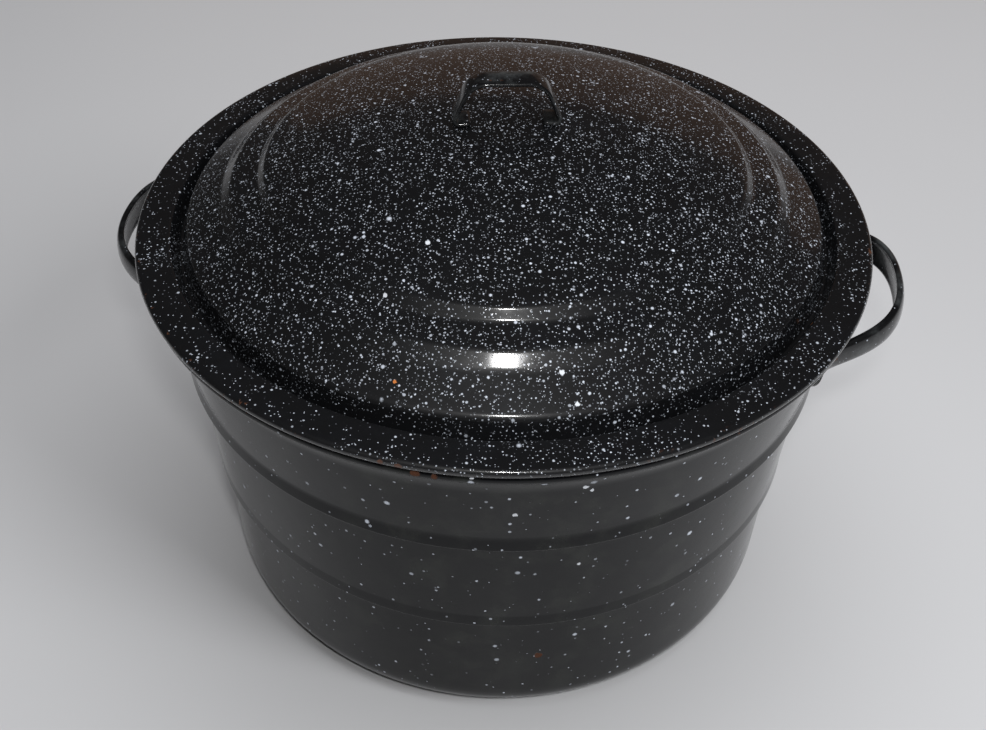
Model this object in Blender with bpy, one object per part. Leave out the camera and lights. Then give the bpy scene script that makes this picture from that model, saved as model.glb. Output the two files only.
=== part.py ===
"""Water bath canner: an enamelled steel pot and lid, with the lift-out wire jar rack inside.

The origin is the centre of the pot's flat base, +Z is up, and the two side handles lie on X.
All lengths are in metres and all angles in degrees.
"""

import math

import bmesh
import bpy
from mathutils import Vector

# Sheet and joints
POT_SHEET = 0.0012
LID_SHEET = 0.0011
GAP = 0.0003
ROUND_SIDES = 48

# Pot wall, outer face: radius and height of each corner, from the base to the rim
CORNER_RADIUS = 0.0200
BASE_WALL_RADIUS = 0.1646
LOWER_STEP_HEIGHT = 0.0877
LOWER_STEP_RADIUS = 0.1690
LOWER_STEP_TUCK = 0.0033
LOWER_STEP_FLARE = 0.0003
UPPER_STEP_HEIGHT = 0.1547
UPPER_STEP_RADIUS = 0.1750
UPPER_STEP_TUCK = 0.0040
UPPER_STEP_FLARE = 0.0012
STEP_DROP = 0.0034
STEP_FLARE_RISE = 0.0070
STEP_NOSE_BACK = 0.0008
STEP_NOSE_DROP = 0.0011
BAND_TOP_RADIUS = 0.1783
BAND_TOP_HEIGHT = 0.2010
RIM_FLARE = ((0.1803, 0.2074), (0.1830, 0.2126))
RIM_BEAD_RADIUS = 0.0030
RIM_BEAD_CENTRE = (0.1854, 0.2168)

# Lid, upper face
LID_RADIUS = 0.1900
LID_BEAD_RADIUS = 0.0024
LID_BEAD_HEIGHT = 0.2221
DOME_HEIGHT = 0.2753
DOME_EDGE_RADIUS = 0.1190
DOME_SPHERE = 0.3688
DOME_RADII = (0.0, 0.0450, 0.0850, DOME_EDGE_RADIUS)
STEP_RING = ((0.1222, 0.2542), (0.1245, 0.2516), (0.1272, 0.2496), (0.1370, 0.2465))
SHOULDER = ((0.1405, 0.2450), (0.1450, 0.2408), (0.1500, 0.2372), (0.1560, 0.2338))
CONE_FOOT = ((0.1610, 0.2303), (0.1636, 0.2275), (0.1648, 0.2245))
GROOVE = ((0.1662, 0.2182), (0.1672, 0.2158), (0.1690, 0.2158), (0.1703, 0.2180))
BRIM = ((0.1717, 0.2227), (0.1737, 0.2250), (0.1830, 0.2248))

# Strap handles
SIDE_STRAP_WIDTH = 0.0160
SIDE_STRAP_THICKNESS = 0.0043
SIDE_HANDLE_HEIGHT = 0.1835
SIDE_HANDLE_REACH = 0.2127
SIDE_PAD_START = 22.5
SIDE_PAD_END = 19.0
SIDE_BEND_START = 0.0141
SIDE_BEND_END = 0.0518
SIDE_TILT = 0.36
SIDE_TIP_LEAN = -0.148
SIDE_STRAP_EDGE = 0.0010
LID_STRAP_WIDTH = 0.0130
LID_STRAP_THICKNESS = 0.0022
LID_HANDLE_SPAN = 0.0565
LID_HANDLE_TOP_SPAN = 0.0300
LID_HANDLE_RISE = 0.0240
LID_PAD_LENGTH = 0.0090
LID_FOOT_BEND = 0.0020
LID_CROWN_BEND = 0.0120
LID_CROWN_SPREAD = 0.0030
LID_CROWN_DROP = 0.0005
LID_STRAP_EDGE = 0.85
LID_HANDLE_TURN = 10.5

# Jar rack
JAR_CELLS = 6
HEAVY_WIRE = 0.0025
WIRE = 0.0020
LIGHT_WIRE = 0.0015
UPPER_RING_RADIUS = 0.1560
UPPER_RING_HEIGHT = 0.0970
CENTRE_RING_RADIUS = 0.0525
BASE_RING_RADII = {"inner": 0.0300, "middle": 0.0800, "outer": 0.1340}
DIVIDER_INNER_END = 0.0180
DIVIDER_FOOT_RADIUS = 0.1420
DIVIDER_BEND = 0.0100
DIVIDER_OVERRUN = 0.0015
POST_OVERRUN = 0.0005

# Swinging rack handles
HANDLE_WIRE = 0.00225
EYE_CLEARANCE = 0.0005
EYE_ANGLE = 28.0
HANDLE_PIN = 0.0050
HANDLE_ARM = 0.1040
HANDLE_BEND = 0.0140
HANDLE_PIN_BEND = HANDLE_WIRE + 0.0005

BLACK_ENAMEL = ((0.012, 0.013, 0.016, 1.0), 0.12, 0.0)
STEEL_WIRE = ((0.62, 0.62, 0.60, 1.0), 0.30, 1.0)


def clear_scene():
    """Remove every object in the scene."""
    for old in list(bpy.data.objects):
        bpy.data.objects.remove(old, do_unlink=True)


def finish_material(name, finish):
    """Make one plain material from a colour, a roughness and a metallic value."""
    colour, roughness, metallic = finish
    material = bpy.data.materials.new(name)
    material.use_nodes = True
    shader = material.node_tree.nodes["Principled BSDF"]
    shader.inputs["Base Color"].default_value = colour
    shader.inputs["Roughness"].default_value = roughness
    shader.inputs["Metallic"].default_value = metallic
    return material


def add_object(name, mesh_data, finish, origin=(0.0, 0.0, 0.0)):
    """Turn a bmesh in world coordinates into a named object with its origin at a point."""
    bmesh.ops.remove_doubles(mesh_data, verts=mesh_data.verts, dist=1e-7)
    bmesh.ops.recalc_face_normals(mesh_data, faces=mesh_data.faces)
    bmesh.ops.translate(mesh_data, verts=mesh_data.verts, vec=-Vector(origin))
    mesh = bpy.data.meshes.new(name)
    mesh_data.to_mesh(mesh)
    mesh_data.free()
    mesh.shade_smooth()
    mesh.set_sharp_from_angle(angle=math.radians(50.0))
    mesh.materials.append(finish_material(name, finish))
    part = bpy.data.objects.new(name, mesh)
    part.location = origin
    bpy.context.scene.collection.objects.link(part)
    return part


def arc(centre, radius, start, end, steps):
    """Points of an arc in a plane, both ends included."""
    points = []
    for step in range(steps + 1):
        angle = math.radians(start + (end - start) * step / steps)
        points.append((centre[0] + radius * math.cos(angle), centre[1] + radius * math.sin(angle)))
    return points


def offset_profile(points, distance):
    """Move an open profile to its left by a distance, keeping its ends on the axis."""
    moved = []
    for index, point in enumerate(points):
        before = Vector(points[max(index - 1, 0)])
        here = Vector(point)
        after = Vector(points[min(index + 1, len(points) - 1)])
        first = (here - before) if index > 0 else (after - here)
        second = (after - here) if index < len(points) - 1 else (here - before)
        normal_first = Vector((-first.y, first.x)).normalized()
        normal_second = Vector((-second.y, second.x)).normalized()
        middle = (normal_first + normal_second).normalized()
        shift = middle * (distance / middle.dot(normal_first))
        radius = 0.0 if point[0] == 0.0 else here.x + shift.x
        moved.append((radius, here.y + shift.y))
    return moved


def turned(name, profile, finish, sides=ROUND_SIDES):
    """Spin a (radius, height) profile that starts and ends on the axis into one closed body."""
    shape = bmesh.new()
    corners = [shape.verts.new((radius, 0.0, height)) for radius, height in profile]
    edges = [shape.edges.new(pair) for pair in zip(corners[:-1], corners[1:])]
    bmesh.ops.spin(shape, geom=corners + edges, cent=(0.0, 0.0, 0.0), axis=(0.0, 0.0, 1.0),
                   angle=2.0 * math.pi, steps=sides, use_merge=True, use_duplicate=False)
    return add_object(name, shape, finish)


def swept(name, path, plane_normal, section, finish, closed=False, origin=(0.0, 0.0, 0.0), warp=None):
    """Sweep a section along a path that lies in one plane.

    A section point is (out of the path to its left within the plane, along the plane's normal).
    """
    shape = bmesh.new()
    normal = Vector(plane_normal).normalized()
    count = len(path)
    rings = []
    for index in range(count):
        here = Vector(path[index])
        before = Vector(path[index - 1]) if closed or index > 0 else None
        after = Vector(path[(index + 1) % count]) if closed or index < count - 1 else None
        incoming = (here - before).normalized() if before is not None else (after - here).normalized()
        outgoing = (after - here).normalized() if after is not None else incoming
        side_in = normal.cross(incoming)
        side_out = normal.cross(outgoing)
        side = (side_in + side_out).normalized()
        stretch = 1.0 / side.dot(side_in)
        ring = []
        for across, up in section:
            place = here + side * (across * stretch) + normal * up
            ring.append(shape.verts.new(warp(place) if warp else place))
        rings.append(ring)
    spans = count if closed else count - 1
    for index in range(spans):
        bridge = rings[index], rings[(index + 1) % count]
        for corner in range(len(section)):
            following = (corner + 1) % len(section)
            near = bridge[0][corner], bridge[0][following]
            far = bridge[1][following], bridge[1][corner]
            shape.faces.new(near + far)
    if not closed:
        shape.faces.new(rings[0])
        shape.faces.new(rings[-1])
    return add_object(name, shape, finish, origin)


def wire_section(radius, sides=6):
    """A round wire's section, with corners at its very top and bottom."""
    turns = [2.0 * math.pi * k / sides for k in range(sides)]
    return [(-radius * math.sin(turn), radius * math.cos(turn)) for turn in turns]


def strap_section(thickness, width, edge):
    """A strap's section: flat inside face, crowned outside face and rounded edges."""
    half = width / 2.0
    inside = -thickness / 2.0
    outside = thickness / 2.0
    right = [(inside, half - edge), (inside + edge, half), (outside - 0.45 * thickness, half - 0.5 * edge),
             (outside - 0.12 * thickness, half - 2.2 * edge), (outside, 0.25 * half)]
    left = [(across, -up) for across, up in reversed(right)]
    return right + left


def polar(radius, angle, height=0.0):
    """A point at a radius, an angle round the pot's axis and a height."""
    turn = math.radians(angle)
    return Vector((radius * math.cos(turn), radius * math.sin(turn), height))


def rounded(corners, bend, steps=3):
    """An open run through corners, with each inner corner rounded by a curve of about the bend's radius."""
    points = [Vector(corners[0])]
    for index in range(1, len(corners) - 1):
        corner = Vector(corners[index])
        back = (Vector(corners[index - 1]) - corner).normalized()
        ahead = (Vector(corners[index + 1]) - corner).normalized()
        half_angle = back.angle(ahead) / 2.0
        reach = bend / math.tan(half_angle)
        start = corner + back * reach
        end = corner + ahead * reach
        middle = corner + (back + ahead).normalized() * (bend / math.sin(half_angle))
        sweep = math.pi - 2.0 * half_angle
        first = (start - middle)
        turn_axis = first.cross(end - middle).normalized()
        across = turn_axis.cross(first)
        for step in range(steps + 1):
            angle = sweep * step / steps
            points.append(middle + first * math.cos(angle) + across * math.sin(angle))
    points.append(Vector(corners[-1]))
    return points


def bezier(first, second, third, fourth, steps):
    """Points of a cubic curve, both ends included."""
    points = []
    for step in range(steps + 1):
        t = step / steps
        s = 1.0 - t
        points.append(first * s ** 3 + second * 3.0 * s * s * t + third * 3.0 * s * t * t + fourth * t ** 3)
    return points


def step_corner(height, radius, tuck, flare):
    """The pot wall's points round one step: tucked in below, rounded over and drawn in above."""
    return [
        (radius - tuck, height - STEP_DROP),
        (radius - STEP_NOSE_BACK, height - STEP_NOSE_DROP),
        (radius, height),
        (radius - 0.3 * flare, height + 0.25 * STEP_FLARE_RISE),
        (radius - flare, height + STEP_FLARE_RISE),
    ]


def make_pot_body():
    """Drawn pot: flat base, rounded corner, two stepped ribs and a rolled rim."""
    corner_centre = (BASE_WALL_RADIUS - CORNER_RADIUS, CORNER_RADIUS)
    outer = [(0.0, 0.0)]
    outer += arc(corner_centre, CORNER_RADIUS, -90.0, 0.0, 4)
    outer += step_corner(LOWER_STEP_HEIGHT, LOWER_STEP_RADIUS, LOWER_STEP_TUCK, LOWER_STEP_FLARE)
    outer += step_corner(UPPER_STEP_HEIGHT, UPPER_STEP_RADIUS, UPPER_STEP_TUCK, UPPER_STEP_FLARE)
    outer += [(BAND_TOP_RADIUS, BAND_TOP_HEIGHT), *RIM_FLARE]
    inner = offset_profile(outer, POT_SHEET)
    rim = arc(RIM_BEAD_CENTRE, RIM_BEAD_RADIUS, -115.0, 180.0, 8)
    return turned("pot_body", outer + rim + inner[::-1], BLACK_ENAMEL)


def dome_height(radius):
    """Height of the lid's shallow middle dome at a radius."""
    return DOME_HEIGHT - radius * radius / (2.0 * DOME_SPHERE)


def make_lid_shell():
    """Pressed lid: shallow dome, small step, shoulder, cone, locating groove, brim and rolled edge."""
    upper = [(radius, dome_height(radius)) for radius in DOME_RADII]
    upper += [*STEP_RING, *SHOULDER, *CONE_FOOT, *GROOVE, *BRIM]
    bead_centre = (LID_RADIUS - LID_BEAD_RADIUS, LID_BEAD_HEIGHT)
    bead = arc(bead_centre, LID_BEAD_RADIUS, 90.0, -215.0, 8)
    lower = offset_profile(upper, -LID_SHEET)
    return turned("lid_shell", upper + bead + lower[::-1], BLACK_ENAMEL)


def band_radius(height):
    """Outer radius of the pot's top band at a height."""
    low = UPPER_STEP_RADIUS - UPPER_STEP_FLARE
    low_height = UPPER_STEP_HEIGHT + STEP_FLARE_RISE
    return low + (BAND_TOP_RADIUS - low) * (height - low_height) / (BAND_TOP_HEIGHT - low_height)


def make_side_handle(name, facing):
    """Strap loop whose two ends lie on the pot's top band. facing is 1 for +X and -1 for -X."""
    pad_radius = band_radius(SIDE_HANDLE_HEIGHT) + GAP + SIDE_STRAP_THICKNESS / 2.0
    slope = band_radius(1.0) - band_radius(0.0)
    pad = [polar(pad_radius, -SIDE_PAD_START), polar(pad_radius, -(SIDE_PAD_START + SIDE_PAD_END) / 2.0)]
    leave = polar(pad_radius, -SIDE_PAD_END)
    along = Vector((-leave.y, leave.x, 0.0)).normalized()
    tip = Vector((SIDE_HANDLE_REACH - SIDE_STRAP_THICKNESS / 2.0, 0.0, 0.0))
    bend_end = tip - Vector((0.0, SIDE_BEND_END, 0.0))
    half = bezier(leave, leave + along * SIDE_BEND_START, bend_end, tip, 9)
    front = pad + half
    back = [Vector((point.x, -point.y, 0.0)) for point in reversed(front[:-1])]

    def lean(place):
        """Lie against the pot's wall at the pads, and rise and lean in towards the loop's tip."""
        radius = math.hypot(place.x, place.y)
        outward_run = max(radius - pad_radius, 0.0)
        share = min(outward_run / (SIDE_HANDLE_REACH - pad_radius), 1.0)
        scale = facing * (1.0 + (slope + (SIDE_TIP_LEAN - slope) * share) * place.z / radius)
        height = SIDE_HANDLE_HEIGHT + place.z + SIDE_TILT * outward_run
        return Vector((place.x * scale, place.y * scale, height))

    section = strap_section(SIDE_STRAP_THICKNESS, SIDE_STRAP_WIDTH, SIDE_STRAP_EDGE)
    outward = [(-across, up) for across, up in section]
    return swept(name, front + back, (0.0, 0.0, 1.0), outward, BLACK_ENAMEL, warp=lean)


def make_lid_handle():
    """Strap arch on the lid's middle, with its two feet turned in and lying on the dome."""
    lift = GAP + LID_STRAP_THICKNESS / 2.0
    half_foot = LID_HANDLE_SPAN / 2.0 - LID_STRAP_THICKNESS / 2.0
    half_top = LID_HANDLE_TOP_SPAN / 2.0
    pad_end = half_foot - LID_PAD_LENGTH
    top = DOME_HEIGHT + LID_HANDLE_RISE - LID_STRAP_THICKNESS / 2.0
    corners = [
        (-pad_end, 0.0, dome_height(pad_end) + lift),
        (-half_foot, 0.0, dome_height(half_foot) + lift),
        (-half_top - LID_CROWN_SPREAD, 0.0, top - LID_CROWN_DROP),
        (half_top + LID_CROWN_SPREAD, 0.0, top - LID_CROWN_DROP),
        (half_foot, 0.0, dome_height(half_foot) + lift),
        (pad_end, 0.0, dome_height(pad_end) + lift),
    ]
    foot_left = rounded(corners[0:3], LID_FOOT_BEND, 3)[:-1]
    crown_corners = [foot_left[-1], corners[2], corners[3], (half_foot, 0.0, foot_left[-1].z)]
    crown = rounded(crown_corners, LID_CROWN_BEND, 5)
    foot_right = [Vector((-point.x, 0.0, point.z)) for point in reversed(foot_left)]
    path = foot_left + crown[1:-1] + foot_right
    half = LID_STRAP_WIDTH / 2.0
    thin = LID_STRAP_THICKNESS / 2.0
    edge = LID_STRAP_EDGE * half
    section = [(-thin, edge), (0.0, half), (thin, edge), (thin, -edge), (0.0, -half), (-thin, -edge)]
    turn = math.radians(LID_HANDLE_TURN)
    run = [Vector((point[0] * math.cos(turn), point[0] * math.sin(turn), point[2])) for point in path]
    return swept("lid_handle", run, (-math.sin(turn), math.cos(turn), 0.0), section, BLACK_ENAMEL)


def ring_path(radius, height, sides):
    """A level circle round the pot's axis."""
    return [polar(radius, 360.0 * k / sides, height) for k in range(sides)]


def floor_run_height():
    """Height of the middle of the wires that lie on the pot's floor."""
    return POT_SHEET + GAP + WIRE


def base_ring_height():
    """Height of the middle of the base rings, which lie on the floor wires."""
    return floor_run_height() + 2.0 * WIRE + GAP


def pivot_height():
    """Height of the axes that the rack's handles turn on."""
    return UPPER_RING_HEIGHT + HEAVY_WIRE + GAP + eye_radius() + LIGHT_WIRE


def eye_radius():
    """Radius of an eye, to the middle of its wire."""
    return HANDLE_WIRE + EYE_CLEARANCE + LIGHT_WIRE


def centre_ring_height():
    """Height of the centre ring, which the folded handles rest on."""
    return pivot_height() - HANDLE_WIRE - GAP - LIGHT_WIRE


def make_rack_rings():
    """The upper ring, the centre ring and the three base rings that jars stand on."""
    up = (0.0, 0.0, 1.0)
    swept("rack_upper_ring", ring_path(UPPER_RING_RADIUS, UPPER_RING_HEIGHT, ROUND_SIDES), up,
          wire_section(HEAVY_WIRE, 8), STEEL_WIRE, closed=True)
    swept("rack_centre_ring", ring_path(CENTRE_RING_RADIUS, centre_ring_height(), 30), up,
          wire_section(LIGHT_WIRE), STEEL_WIRE, closed=True)
    for place, radius in BASE_RING_RADII.items():
        sides = 24 if place == "inner" else 36
        swept("rack_base_ring_" + place, ring_path(radius, base_ring_height(), sides), up,
              wire_section(WIRE), STEEL_WIRE, closed=True)


def make_rack_dividers():
    """Six wires that run along the floor and up to the upper ring, and six posts for the centre ring."""
    low = floor_run_height()
    ring_side = UPPER_RING_RADIUS - HEAVY_WIRE - GAP - WIRE
    post_radius = CENTRE_RING_RADIUS + LIGHT_WIRE + GAP + LIGHT_WIRE
    post_foot = low + WIRE + GAP
    post_top = centre_ring_height() + POST_OVERRUN
    for cell in range(JAR_CELLS):
        angle = 360.0 * cell / JAR_CELLS
        across = polar(1.0, angle + 90.0)
        corners = [
            polar(DIVIDER_INNER_END, angle, low),
            polar(DIVIDER_FOOT_RADIUS, angle, low),
            polar(ring_side, angle, UPPER_RING_HEIGHT + DIVIDER_OVERRUN),
        ]
        swept("rack_divider_%d" % (cell + 1), rounded(corners, DIVIDER_BEND, 4), across,
              wire_section(WIRE), STEEL_WIRE)
        post = [polar(post_radius, angle, post_foot), polar(post_radius, angle, post_top)]
        swept("rack_post_%d" % (cell + 1), post, across, wire_section(LIGHT_WIRE), STEEL_WIRE)


def make_rack_handle(name, side, facing):
    """A swinging wire handle, folded in flat over the jars, and the two eyes that its pins turn in."""
    eye = polar(UPPER_RING_RADIUS, EYE_ANGLE)
    height = pivot_height()
    pin_end = eye.y + LIGHT_WIRE + HANDLE_PIN
    arm_side = eye.y - LIGHT_WIRE - GAP - 2.0 * HANDLE_WIRE
    grip = eye.x - HANDLE_ARM
    pivot = Vector((facing * eye.x, 0.0, height))
    grip_end = Vector((grip, arm_side, height))
    near = [Vector((eye.x, pin_end, height)), Vector((eye.x, arm_side, height)), grip_end]
    arm = rounded(near, HANDLE_PIN_BEND, 3)[:-1]
    far_corner = [arm[-1], grip_end, Vector((grip, -arm_side, height))]
    bend = rounded(far_corner, HANDLE_BEND, 5)[1:-1]
    half = arm + bend
    other = [Vector((point.x, -point.y, point.z)) for point in reversed(half)]
    path = [Vector((facing * point.x, facing * point.y, point.z)) for point in half + other]
    swept(name, path, (0.0, 0.0, 1.0), wire_section(HANDLE_WIRE, 8), STEEL_WIRE, origin=pivot)
    for end, sign in (("front", -1.0), ("back", 1.0)):
        centre = Vector((facing * eye.x, sign * eye.y, height))
        loop = []
        for k in range(12):
            turn = 2.0 * math.pi * k / 12
            loop.append(centre + Vector((math.cos(turn), 0.0, math.sin(turn))) * eye_radius())
        swept("rack_eye_%s_%s" % (side, end), loop, (0.0, 1.0, 0.0), wire_section(LIGHT_WIRE),
              STEEL_WIRE, closed=True)


def main():
    """Build every piece of the canner."""
    clear_scene()
    make_pot_body()
    make_side_handle("side_handle_right", 1.0)
    make_side_handle("side_handle_left", -1.0)
    make_lid_shell()
    make_lid_handle()
    make_rack_rings()
    make_rack_dividers()
    make_rack_handle("rack_handle_right", "right", 1.0)
    make_rack_handle("rack_handle_left", "left", -1.0)


main()
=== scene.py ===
"""Looks of the water bath canner: a speckled enamel pot and lid over a plated wire jar rack.

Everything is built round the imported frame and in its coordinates: the origin is the middle of
the pot's flat base, +Z is up and the side handles lie on X. Lengths are in metres.
"""

import logging
import math
from collections.abc import Callable, Iterable, Mapping, Sequence
from dataclasses import dataclass, field
from enum import Enum

import bmesh
import bpy
import numpy as np
from mathutils import Matrix, Vector


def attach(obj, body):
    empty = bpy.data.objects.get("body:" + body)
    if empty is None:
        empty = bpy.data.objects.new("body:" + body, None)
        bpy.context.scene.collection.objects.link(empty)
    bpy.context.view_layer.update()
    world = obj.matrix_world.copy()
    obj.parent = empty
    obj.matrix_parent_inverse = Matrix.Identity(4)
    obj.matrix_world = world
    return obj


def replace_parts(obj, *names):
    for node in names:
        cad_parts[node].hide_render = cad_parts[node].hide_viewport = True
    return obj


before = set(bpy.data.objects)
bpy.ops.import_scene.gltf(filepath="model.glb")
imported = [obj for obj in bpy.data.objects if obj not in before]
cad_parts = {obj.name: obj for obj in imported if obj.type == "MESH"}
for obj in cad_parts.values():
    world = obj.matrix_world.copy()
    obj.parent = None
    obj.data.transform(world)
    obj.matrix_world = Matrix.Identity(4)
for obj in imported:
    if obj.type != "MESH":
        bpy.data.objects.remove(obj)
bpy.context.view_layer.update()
LOG = logging.getLogger("canner")

Tint = tuple[float, float, float]
Warp = Callable[[np.ndarray], np.ndarray]

FULL_TURN = 2.0 * math.pi
JAR_CELLS = 6


class Region(Enum):
    """Where on the canner a finish is used, which sets how thickly the specks lie."""

    LID = "lid"
    WALL = "wall"
    HANDLE = "handle"


class Mark(Enum):
    """The kinds of damage that the enamel shows; the pale chip kind also paints one highlight on the lid."""

    RUST = "rust"
    ORANGE = "orange"
    CHIP_AND_GLINT = "chip_and_glint"


# ---------------------------------------------------------------- node trees


class Value:
    """One output in a finish's node tree, on which arithmetic adds Math nodes."""

    def __init__(self, recipe: "Recipe", socket: bpy.types.NodeSocket) -> None:
        """Keep the recipe and the socket."""
        self.recipe = recipe
        self.socket = socket

    def step(self, operation: str, first: "Value | float", second: "Value | float" = 0.0) -> "Value":
        """Add one Math node.

        Args:
            operation: the Math node's operation.
            first: its first value.
            second: its second value.

        Returns:
            The node's result.
        """
        return self.recipe.add("ShaderNodeMath", {"operation": operation}, {0: first, 1: second})

    def __add__(self, other: "Value | float") -> "Value":
        """self + other."""
        return self.step("ADD", self, other)

    def __radd__(self, other: "Value | float") -> "Value":
        """other + self."""
        return self.step("ADD", other, self)

    def __sub__(self, other: "Value | float") -> "Value":
        """self - other."""
        return self.step("SUBTRACT", self, other)

    def __rsub__(self, other: "Value | float") -> "Value":
        """other - self."""
        return self.step("SUBTRACT", other, self)

    def __mul__(self, other: "Value | float") -> "Value":
        """self * other."""
        return self.step("MULTIPLY", self, other)

    def __rmul__(self, other: "Value | float") -> "Value":
        """other * self."""
        return self.step("MULTIPLY", other, self)

    def __truediv__(self, other: "Value | float") -> "Value":
        """self / other."""
        return self.step("DIVIDE", self, other)

    def __rtruediv__(self, other: "Value | float") -> "Value":
        """other / self."""
        return self.step("DIVIDE", other, self)

    def __pow__(self, other: "Value | float") -> "Value":
        """self ** other."""
        return self.step("POWER", self, other)

    def most(self, other: "Value | float") -> "Value":
        """The larger of the two."""
        return self.step("MAXIMUM", self, other)

    def below(self, other: "Value | float") -> "Value":
        """1 where self is less than other, else 0."""
        return self.step("LESS_THAN", self, other)

    def rise(self, low: "Value | float", high: "Value | float") -> "Value":
        """Ease from 0 at low to 1 at high.

        Args:
            low: the value that gives 0.
            high: the value that gives 1; it may be the smaller one.

        Returns:
            A smooth step between the two.
        """
        settings = {"interpolation_type": "SMOOTHSTEP"}
        return self.recipe.add("ShaderNodeMapRange", settings, {0: self, 1: low, 2: high})


class Recipe:
    """The node tree of one finish."""

    def __init__(self, name: str) -> None:
        """Start a material with one shader and one output.

        Args:
            name: the material's name.
        """
        self.material = bpy.data.materials.new(name)
        self.material.use_nodes = True
        self.tree = self.material.node_tree
        self.shader = self.tree.nodes["Principled BSDF"]
        self.place = self.add("ShaderNodeTexCoord", output="Object")

    def add(
        self,
        kind: str,
        settings: Mapping[str, object] | None = None,
        inputs: Mapping[int | str, object] | None = None,
        output: int | str = 0,
    ) -> Value:
        """Add one node.

        Args:
            kind: the node's type.
            settings: its own settings, set first; "stops" are a ramp's (position, tint) pairs.
            inputs: the number, vector or Value of each socket, by index or name.
            output: the output that is wanted, by index or name.

        Returns:
            That output.
        """
        node = self.tree.nodes.new(kind)
        for key, setting in (settings or {}).items():
            if key == "stops":
                self._set_stops(node.color_ramp, setting)
            else:
                setattr(node, key, setting)
        for key, given in (inputs or {}).items():
            self.feed(node.inputs[key], given)
        return Value(self, node.outputs[output])

    def feed(self, socket: bpy.types.NodeSocket, given: object) -> None:
        """Link a Value to a socket, or set the socket to a plain value.

        Args:
            socket: the socket to feed.
            given: a Value, a number, a vector or a colour.
        """
        if isinstance(given, Value):
            self.tree.links.new(given.socket, socket)
        elif isinstance(given, tuple) and len(given) == 3 and socket.type == "RGBA":
            socket.default_value = (*given, 1.0)
        else:
            socket.default_value = given

    @staticmethod
    def _set_stops(ramp: bpy.types.ColorRamp, stops: Sequence[tuple[float, Tint]]) -> None:
        """Set a colour ramp's stops, which start as two.

        Args:
            ramp: the colour ramp.
            stops: the position and tint of each stop.
        """
        while len(ramp.elements) < len(stops):
            ramp.elements.new(0.5)
        for element, (position, tint) in zip(ramp.elements, stops):
            element.position = position
            element.color = (*tint, 1.0)

    def noise(
        self, scale: float, detail: float = 2.0, place: Value | None = None, rough: float = 0.5
    ) -> Value:
        """Smooth noise about 0.5.

        Args:
            scale: lumps per metre.
            detail: octaves of finer lumps.
            place: where it is read; the piece's own coordinates if it is not given.
            rough: how strong the finer lumps are.

        Returns:
            The noise.
        """
        inputs = {"Vector": place or self.place, "Scale": scale, "Detail": detail, "Roughness": rough}
        return self.add("ShaderNodeTexNoise", None, inputs)

    def shifted(self, place: Value, scale: float, reach: float) -> Value:
        """Push a place about by noise.

        Args:
            place: the place.
            scale: the noise's lumps per metre.
            reach: how far it is pushed, in metres.

        Returns:
            The new place.
        """
        cloud = self.add("ShaderNodeTexNoise", None, {"Vector": place, "Scale": scale}, "Color")
        centred = self.vector("SUBTRACT", cloud, (0.5, 0.5, 0.5))
        push = self.add("ShaderNodeVectorMath", {"operation": "SCALE"}, {0: centred, 3: 2.0 * reach})
        return self.vector("ADD", place, push)

    def vector(self, operation: str, first: object, second: object, output: int | str = 0) -> Value:
        """Add one Vector Math node."""
        return self.add("ShaderNodeVectorMath", {"operation": operation}, {0: first, 1: second}, output)

    def blend(self, amount: Value | float, under: object, over: object) -> Value:
        """Mix two colours by an amount."""
        settings = {"data_type": "RGBA", "clamp_factor": True}
        return self.add("ShaderNodeMix", settings, {0: amount, 6: under, 7: over}, 2)

    def axes(self, place: Value | None = None) -> tuple[Value, Value, Value]:
        """The three coordinates of a place."""
        node = self.add("ShaderNodeSeparateXYZ", None, {0: place or self.place}).socket.node
        return tuple(Value(self, socket) for socket in node.outputs)

    def finish(self, sockets: Mapping[str, object]) -> bpy.types.Material:
        """Feed the shader's sockets.

        Args:
            sockets: what each named socket of the shader gets.

        Returns:
            The finished material.
        """
        for name, given in sockets.items():
            self.feed(self.shader.inputs[name], given)
        return self.material


# ---------------------------------------------------------------- finishes


@dataclass(frozen=True)
class Specks:
    """One size of white speck in the enamel."""

    pitch: float
    smallest: float
    largest: float
    share: float
    rarity: float = 3.0
    dimmest: float = 0.35


@dataclass(frozen=True)
class Spot:
    """One chip, rust spot or painted highlight."""

    place: Tint
    size: float
    mark: Mark


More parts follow.
